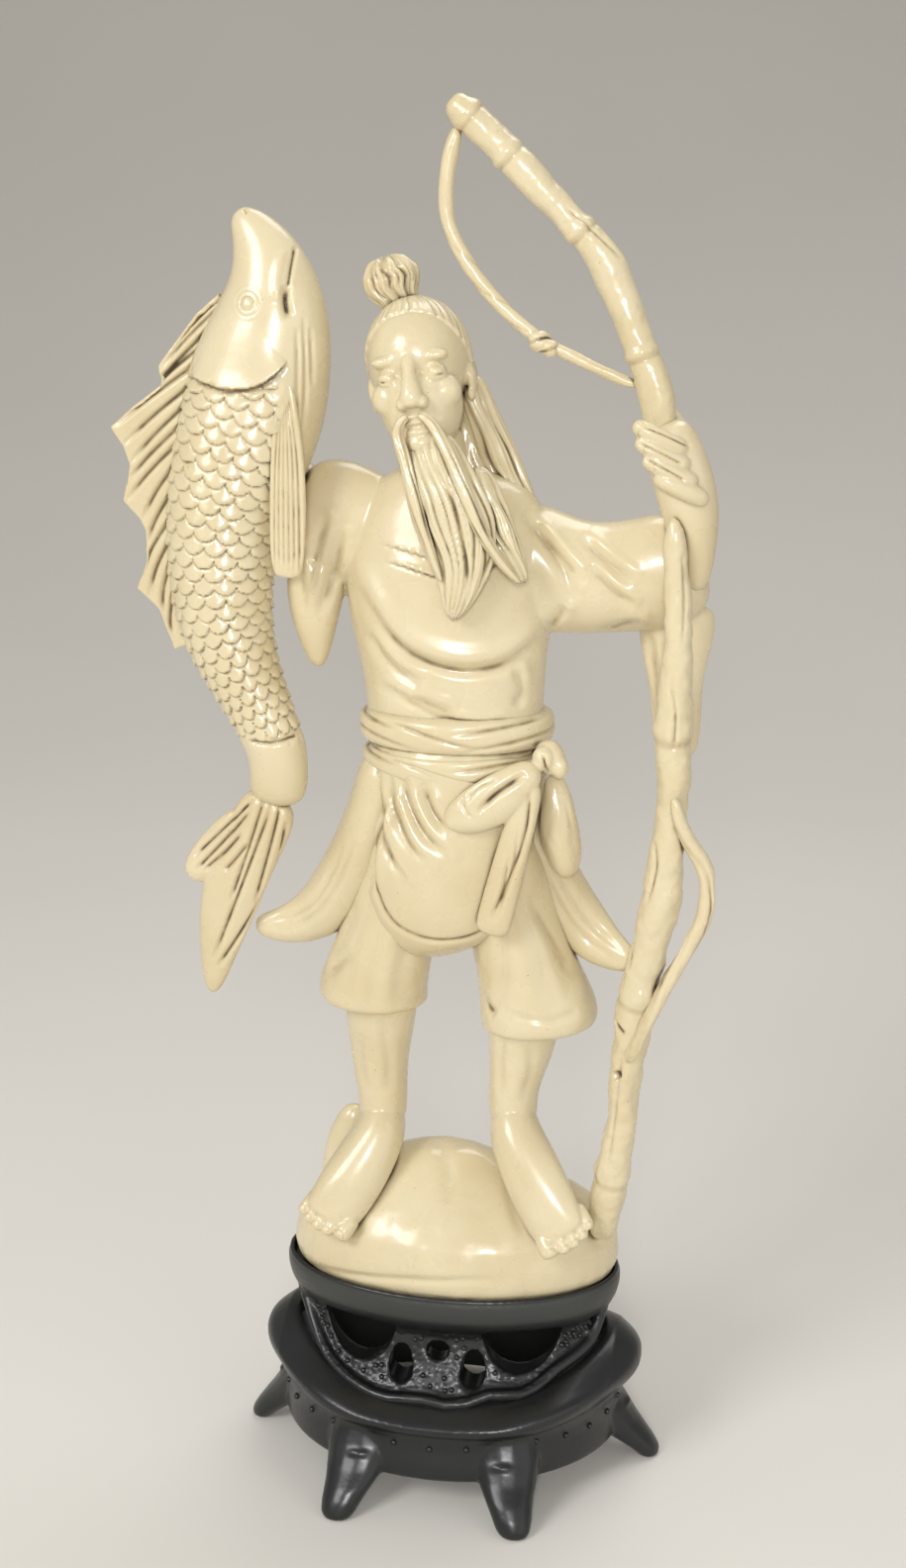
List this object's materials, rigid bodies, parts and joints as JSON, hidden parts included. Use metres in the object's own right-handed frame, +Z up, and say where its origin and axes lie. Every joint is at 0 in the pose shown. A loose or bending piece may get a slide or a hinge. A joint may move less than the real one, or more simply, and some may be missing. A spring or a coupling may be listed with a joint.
{
  "type": "okimono carving",
  "caption": "Ivory-coloured carved fisherman holding up a large fish, with staff and rod, on a rock mound set in a pierced dark oval stand.",
  "frame": {"origin": "on the table under the middle of the box round the whole, 7 mm from the middle of the oval stand towards the fish", "axes": "+Z up, the figure faces -Y, +X towards the side of the staff"},
  "size_m": [0.126, 0.0766, 0.2916],
  "materials": {
    "ivory_resin": "polished cast resin, ivory coloured, with brown stain left in the carved lines",
    "stand_black": "semi-gloss black moulding with pebbled panels"
  },
  "bodies": {
    "stand": {"stand": "stand_black"},
    "figure": {"mound": "ivory_resin", "back_rock": "ivory_resin", "right_foot": "ivory_resin", "left_foot": "ivory_resin", "right_shin": "ivory_resin", "left_shin": "ivory_resin", "right_trouser": "ivory_resin", "left_trouser": "ivory_resin", "apron": "ivory_resin", "robe_back": "ivory_resin", "right_robe_tail": "ivory_resin", "left_robe_tail": "ivory_resin", "torso": "ivory_resin", "sash_upper": "ivory_resin", "sash_lower": "ivory_resin", "sash_knot": "ivory_resin", "sash_loop": "ivory_resin", "sash_ends": "ivory_resin", "pouch": "ivory_resin", "neck": "ivory_resin", "head": "ivory_resin", "topknot": "ivory_resin", "hair_lock": "ivory_resin", "beard": "ivory_resin", "side_lock": "ivory_resin", "right_sleeve": "ivory_resin", "right_sleeve_end": "ivory_resin", "right_hand": "ivory_resin", "left_sleeve": "ivory_resin", "left_sleeve_end": "ivory_resin", "left_hand": "ivory_resin", "staff": "ivory_resin", "staff_vine": "ivory_resin", "rod": "ivory_resin", "line": "ivory_resin", "line_knot": "ivory_resin", "fish_body": "ivory_resin", "dorsal_fin": "ivory_resin", "pectoral_fin": "ivory_resin", "tail_fin": "ivory_resin", "tail_lobe": "ivory_resin"}
  },
  "joints": [
    {"name": "figure_lift", "type": "slide", "parent": "stand", "child": "figure", "axis": [0, 0, 1], "range_m": [0, 0.03]}
  ]
}
